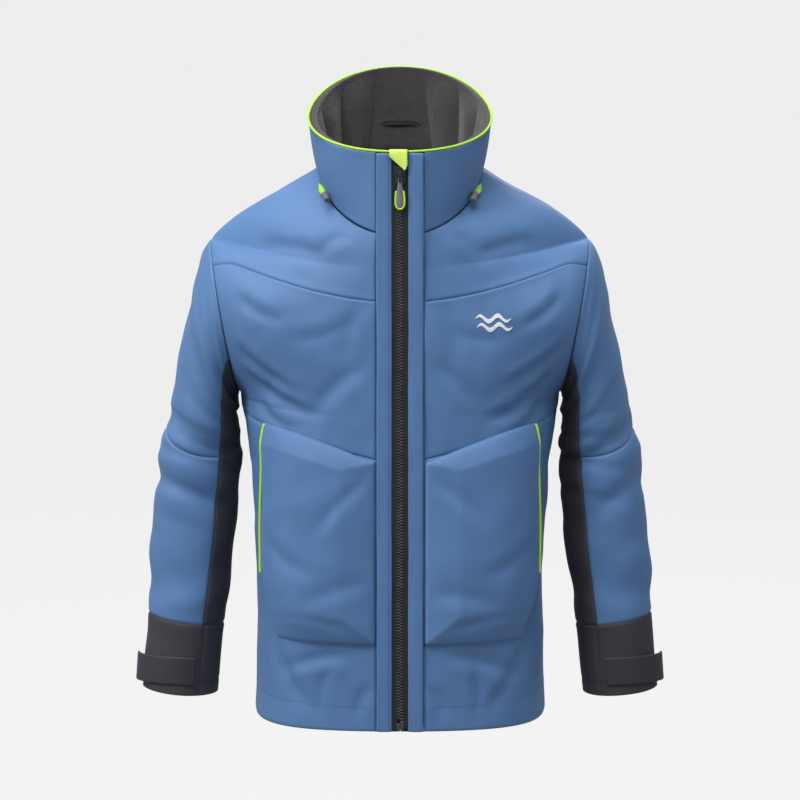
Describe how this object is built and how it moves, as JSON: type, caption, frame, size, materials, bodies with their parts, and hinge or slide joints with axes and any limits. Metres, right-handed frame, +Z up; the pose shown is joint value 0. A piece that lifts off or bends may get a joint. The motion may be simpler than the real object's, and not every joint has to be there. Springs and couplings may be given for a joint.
{
  "type": "foul weather jacket",
  "caption": "Hip-length shell jacket with a tall fleece-lined stand collar, separating front zip, patch hand pockets, shaped sleeves and adjustable cuffs.",
  "frame": {"origin": "where a coat hook bears inside the hang loop at the centre back of the neck", "axes": "+Z up, the front with the zip faces -Y, +X is the wearer's left"},
  "size_m": [0.706, 0.3121, 0.8553],
  "materials": {
    "shell_blue": "matt woven shell",
    "shell_graphite": "matt woven reinforcement",
    "tab_graphite": "moulded fabric-backed tab",
    "piping_lime": "bright woven piping",
    "adjuster_lime": "woven tape and cord",
    "garage_lime": "soft knit",
    "cord_end_grey": "satin moulding",
    "fleece": "brushed fleece",
    "lining": "smooth taffeta",
    "zip_tape": "woven tape",
    "zip_teeth": "moulded resin",
    "slider": "lacquered",
    "webbing": "woven webbing"
  },
  "bodies": {
    "torso": {"back_panel": "shell_blue", "back_yoke": "shell_blue", "back_lining": "lining", "collar_back": "shell_blue", "collar_lining_back": "fleece", "collar_piping_back": "piping_lime", "stowed_hood": "shell_blue", "hang_loop": "webbing", "side_panel_left": "shell_graphite", "shoulder_left": "shell_blue", "side_panel_right": "shell_graphite", "shoulder_right": "shell_blue"},
    "front_left": {"front_yoke_left": "shell_blue", "chest_panel_left": "shell_blue", "lower_front_left": "shell_blue", "pocket_panel_left": "shell_blue", "pocket_piping_left": "piping_lime", "front_lining_left": "lining", "placket_left": "shell_blue", "zip_tape_left": "zip_tape", "zip_teeth_left": "zip_teeth", "collar_front_left": "shell_blue", "collar_lining_front_left": "fleece", "collar_piping_front_left": "piping_lime", "storm_flap": "lining", "zip_box": "zip_teeth"},
    "front_right": {"front_yoke_right": "shell_blue", "chest_panel_right": "shell_blue", "lower_front_right": "shell_blue", "pocket_panel_right": "shell_blue", "pocket_piping_right": "piping_lime", "front_lining_right": "lining", "placket_right": "shell_blue", "zip_tape_right": "zip_tape", "zip_teeth_right": "zip_teeth", "collar_front_right": "shell_blue", "collar_lining_front_right": "fleece", "collar_piping_front_right": "piping_lime", "zip_garage": "garage_lime"},
    "slider": {"slider_body": "slider"},
    "puller": {"pull_tab": "cord_end_grey", "pull_loop": "adjuster_lime"},
    "sleeve_left": {"sleeve_outer_left": "shell_blue", "sleeve_underarm_left": "shell_graphite", "elbow_gusset_left": "shell_blue"},
    "forearm_left": {"forearm_outer_left": "shell_blue", "forearm_under_left": "shell_graphite", "cuff_left": "shell_graphite"},
    "cuff_tab_left": {"cuff_tab_left": "tab_graphite"},
    "adjuster_left": {"adjuster_tape_left": "adjuster_lime", "adjuster_end_left": "cord_end_grey"},
    "sleeve_right": {"sleeve_outer_right": "shell_blue", "sleeve_underarm_right": "shell_graphite", "elbow_gusset_right": "shell_blue"},
    "forearm_right": {"forearm_outer_right": "shell_blue", "forearm_under_right": "shell_graphite", "cuff_right": "shell_graphite"},
    "cuff_tab_right": {"cuff_tab_right": "tab_graphite"},
    "adjuster_right": {"adjuster_tape_right": "adjuster_lime", "adjuster_end_right": "cord_end_grey"}
  },
  "joints": [
    {"name": "main_zip_slide", "type": "slide", "parent": "front_left", "child": "slider", "axis": [0, -0.035, -0.9994], "range_m": [0, 0.66]},
    {"name": "puller_swing", "type": "hinge", "parent": "slider", "child": "puller", "pos_m": [0, -0.1984, -0.06285], "axis": [-1, 0, 0], "range_deg": [0, 150]},
    {"name": "front_open_left", "type": "hinge", "parent": "torso", "child": "front_left", "pos_m": [0.226, -0.15666, -0.4035], "axis": [0, 0, 1], "range_deg": [0, 35]},
    {"name": "front_open_right", "type": "hinge", "parent": "torso", "child": "front_right", "pos_m": [-0.226, -0.15666, -0.4035], "axis": [0, 0, -1], "range_deg": [0, 35]},
    {"name": "sleeve_swing_left", "type": "hinge", "parent": "torso", "child": "sleeve_left", "pos_m": [0.2307, -0.04866, -0.2485], "axis": [-0.9835, 0, 0.1811], "range_deg": [-40, 90]},
    {"name": "elbow_bend_left", "type": "hinge", "parent": "sleeve_left", "child": "forearm_left", "pos_m": [0.26525, -0.05066, -0.4275], "axis": [-0.996, 0, -0.0896], "range_deg": [0, 90], "deforming": ["elbow_gusset_left"]},
    {"name": "cuff_tab_open_left", "type": "hinge", "parent": "forearm_left", "child": "cuff_tab_left", "pos_m": [0.2717, -0.13086, -0.7142], "axis": [0.0939, -0.0902, -0.9915], "range_deg": [0, 95]},
    {"name": "adjuster_swing_left", "type": "hinge", "parent": "torso", "child": "adjuster_left", "pos_m": [0.10536, -0.11002, -0.07424], "axis": [-0.9554, -0.0973, 0.2787], "range_deg": [0, 60]},
    {"name": "sleeve_swing_right", "type": "hinge", "parent": "torso", "child": "sleeve_right", "pos_m": [-0.2307, -0.04866, -0.2485], "axis": [-0.9835, 0, -0.1811], "range_deg": [-40, 90]},
    {"name": "elbow_bend_right", "type": "hinge", "parent": "sleeve_right", "child": "forearm_right", "pos_m": [-0.26525, -0.05066, -0.4275], "axis": [-0.996, 0, 0.0896], "range_deg": [0, 90], "deforming": ["elbow_gusset_right"]},
    {"name": "cuff_tab_open_right", "type": "hinge", "parent": "forearm_right", "child": "cuff_tab_right", "pos_m": [-0.2717, -0.13086, -0.7142], "axis": [0.0939, 0.0902, 0.9915], "range_deg": [0, 95]},
    {"name": "adjuster_swing_right", "type": "hinge", "parent": "torso", "child": "adjuster_right", "pos_m": [-0.10536, -0.11002, -0.07424], "axis": [-0.9554, 0.0973, -0.2787], "range_deg": [0, 60]}
  ],
  "couplings": [
    {"joint": "front_open_left", "follows": "main_zip_slide", "rad_per_m": 0.92463},
    {"joint": "front_open_right", "follows": "main_zip_slide", "rad_per_m": 0.92463}
  ]
}
